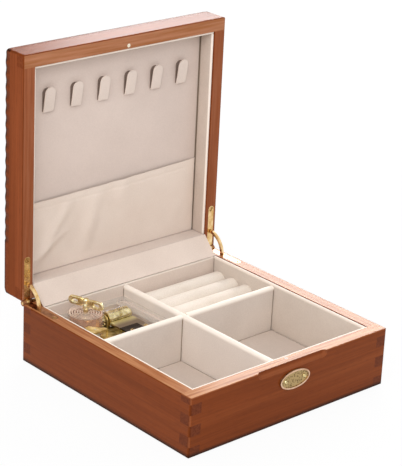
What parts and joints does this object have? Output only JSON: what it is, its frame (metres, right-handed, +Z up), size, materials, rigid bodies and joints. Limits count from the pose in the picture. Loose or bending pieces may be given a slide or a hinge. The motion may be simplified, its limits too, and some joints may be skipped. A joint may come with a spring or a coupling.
{
  "type": "musical jewellery box",
  "caption": "Finger-jointed wooden jewellery box with a lined lid on quadrant hinges, crossing dividers, ring rolls, necklace tabs, elastic pocket and a key-wound musical movement.",
  "frame": {"origin": "centre of the felt underside, on the surface the box stands on", "axes": "+X to the right along the front, +Y to the back, +Z up; the lid stands open at rest"},
  "size_m": [0.21, 0.2383, 0.2605],
  "materials": {
    "wood": "satin",
    "plywood": "matte",
    "felt": "matte",
    "lining_cloth": "matte",
    "soft_cloth": "matte",
    "clear_plastic": "gloss",
    "grey_plastic": "gloss",
    "black_rubber": "matte",
    "movement_brass": "satin",
    "key_brass": "polished",
    "steel": "satin",
    "fly_plastic": "matte",
    "hinge_brass": "satin",
    "plate_brass": "antique"
  },
  "bodies": {
    "base": {"base_front": "wood", "base_back": "wood", "base_left": "wood", "base_right": "wood", "base_bottom": "plywood", "base_felt": "felt", "floor_lining": "lining_cloth", "lining_front": "lining_cloth", "lining_back": "lining_cloth", "lining_left": "lining_cloth", "lining_right": "lining_cloth", "divider_cross": "lining_cloth", "divider_long": "lining_cloth", "ring_rolls": "soft_cloth", "well_frame": "lining_cloth", "sound_block": "grey_plastic", "damping_pad": "black_rubber", "clear_deck": "clear_plastic", "bedplate": "movement_brass", "comb": "steel", "comb_screws": "movement_brass", "cylinder_brackets": "movement_brass", "governor_bridge": "movement_brass", "left_base_leaf": "hinge_brass", "right_base_leaf": "hinge_brass", "hinge_pins": "hinge_brass", "base_leaf_screws": "hinge_brass", "oval_plate": "plate_brass", "plate_screws": "hinge_brass", "base_magnet": "steel", "hinge_strip": "soft_cloth"},
    "lid": {"lid_front": "wood", "lid_back": "wood", "lid_left": "wood", "lid_right": "wood", "lid_top": "wood", "lid_panel_lining": "lining_cloth", "lid_edge_linings": "lining_cloth", "necklace_tabs": "soft_cloth", "lid_pocket": "soft_cloth", "lid_magnet": "steel", "left_lid_leaf": "hinge_brass", "right_lid_leaf": "hinge_brass", "lid_leaf_screws": "hinge_brass"},
    "stay_arms": {"left_stay_arm": "hinge_brass", "right_stay_arm": "hinge_brass"},
    "key": {"winding_key": "key_brass", "key_arbor": "key_brass"},
    "barrel": {"spring_barrel": "clear_plastic", "barrel_wheel": "movement_brass", "mainspring": "steel"},
    "cylinder": {"pin_cylinder": "movement_brass", "cylinder_shaft": "steel", "cylinder_pinion": "movement_brass"},
    "governor": {"governor_wheel": "movement_brass"},
    "fly": {"governor_fly": "fly_plastic"}
  },
  "joints": [
    {"name": "lid_hinge", "type": "hinge", "parent": "base", "child": "lid", "pos_m": [0, 0.1055, 0.051], "axis": [1, 0, 0], "range_deg": [0, 90], "deforming": ["hinge_strip"]},
    {"name": "arms_swing", "type": "hinge", "parent": "base", "child": "stay_arms", "pos_m": [0, 0.1055, 0.051], "axis": [1, 0, 0], "range_deg": [0, 45]},
    {"name": "key_turn", "type": "hinge", "parent": "base", "child": "key", "pos_m": [-0.0695, 0.0662, 0.031], "axis": [0, 0, 1], "continuous": true},
    {"name": "barrel_spin", "type": "hinge", "parent": "base", "child": "barrel", "pos_m": [-0.0695, 0.0662, 0.031], "axis": [0, 0, 1], "continuous": true},
    {"name": "cylinder_spin", "type": "hinge", "parent": "base", "child": "cylinder", "pos_m": [-0.0376, 0.0662, 0.03635], "axis": [1, 0, 0], "continuous": true},
    {"name": "governor_spin", "type": "hinge", "parent": "base", "child": "governor", "pos_m": [-0.0797, 0.04853, 0.031], "axis": [0, 0, 1], "continuous": true},
    {"name": "fly_spin", "type": "hinge", "parent": "base", "child": "fly", "pos_m": [-0.07775, 0.04318, 0.031], "axis": [0, 0, 1], "continuous": true}
  ],
  "couplings": [
    {"joint": "arms_swing", "follows": "lid_hinge", "ratio": 0.5},
    {"joint": "cylinder_spin", "follows": "barrel_spin", "ratio": 3.6},
    {"joint": "governor_spin", "follows": "barrel_spin", "ratio": -7.75},
    {"joint": "fly_spin", "follows": "barrel_spin", "ratio": 19.375}
  ]
}
